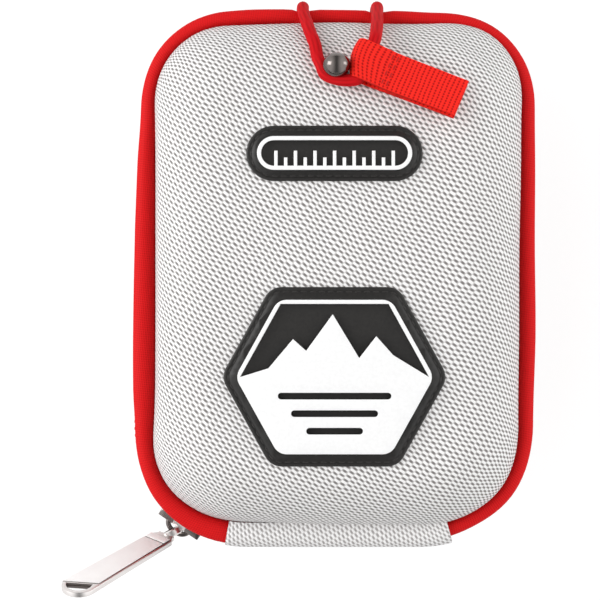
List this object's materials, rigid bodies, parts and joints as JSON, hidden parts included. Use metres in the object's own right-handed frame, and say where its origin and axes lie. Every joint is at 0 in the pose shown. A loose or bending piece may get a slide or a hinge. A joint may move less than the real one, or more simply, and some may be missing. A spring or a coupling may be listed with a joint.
{
  "type": "rangefinder carrying case",
  "caption": "Moulded hard case with a hinged lid, zip and slider, closed by an elastic loop with a webbing tab over a ball stud; holds a hand-held rangefinder.",
  "frame": {"origin": "middle of the flat back face that the case lies on", "axes": "+X to the case's right seen from the front, +Y to the end with the elastic loop, +Z out of the lid's front face"},
  "size_m": [0.1283, 0.1623, 0.0623],
  "materials": {
    "grey_cloth": "woven",
    "black_foam": "foam",
    "black_lining": "knit",
    "red_cloth": "woven",
    "red_tape": "woven",
    "red_nylon": "satin",
    "red_elastic": "braided",
    "red_webbing": "woven",
    "black_rubber": "matte",
    "white_rubber": "matte",
    "polished_steel": "polished",
    "nickel": "polished"
  },
  "bodies": {
    "back": {"back_cover": "grey_cloth", "back_foam": "black_foam", "back_lining": "black_lining", "back_piping": "red_cloth", "back_zip_tape": "red_tape", "back_zip_teeth": "red_nylon", "hinge_strip": "grey_cloth", "cord_eyelet_left": "nickel", "cord_eyelet_right": "nickel", "cord_knot_left": "red_elastic", "cord_knot_right": "red_elastic"},
    "lid": {"lid_cover": "grey_cloth", "lid_foam": "black_foam", "lid_lining": "black_lining", "lid_piping": "red_cloth", "lid_zip_tape": "red_tape", "lid_zip_teeth": "red_nylon", "stud_ball": "polished_steel", "stud_washer": "polished_steel", "pill_patch": "black_rubber", "pill_line": "white_rubber", "badge_patch": "black_rubber", "badge_line": "white_rubber"},
    "loop": {"elastic_loop": "red_elastic"},
    "tab": {"pull_tab": "red_webbing"},
    "slider": {"zip_slider": "nickel", "slider_bridge": "nickel"},
    "pull": {"zip_pull": "nickel"}
  },
  "joints": [
    {"name": "lid_hinge", "type": "hinge", "parent": "back", "child": "lid", "pos_m": [0, -0.07385, 0.028], "axis": [1, 0, 0], "range_deg": [0, 110], "deforming": ["hinge_strip"]},
    {"name": "loop_flip", "type": "hinge", "parent": "back", "child": "loop", "pos_m": [0, 0.0747, 0.0219], "axis": [-1, 0, 0], "range_deg": [0, 130], "deforming": ["elastic_loop", "pull_tab"]},
    {"name": "tab_flap", "type": "hinge", "parent": "loop", "child": "tab", "pos_m": [0.0089, 0.05772, 0.05634], "axis": [-0.3844, -0.8957, 0.2233], "range_deg": [0, 100]},
    {"name": "slider_run", "type": "hinge", "parent": "back", "child": "slider", "pos_m": [-0.0238, -0.0413, 0.028], "axis": [0, 0, -1], "range_deg": [-3, 42]},
    {"name": "pull_swing", "type": "hinge", "parent": "slider", "child": "pull", "pos_m": [-0.04397, -0.07076, 0.028], "axis": [-0.454, 0.891, 0], "range_deg": [-79, 6]}
  ],
  "couplings": [
    {"joint": "loop_flip", "follows": "lid_hinge", "ratio": 1.1818}
  ]
}
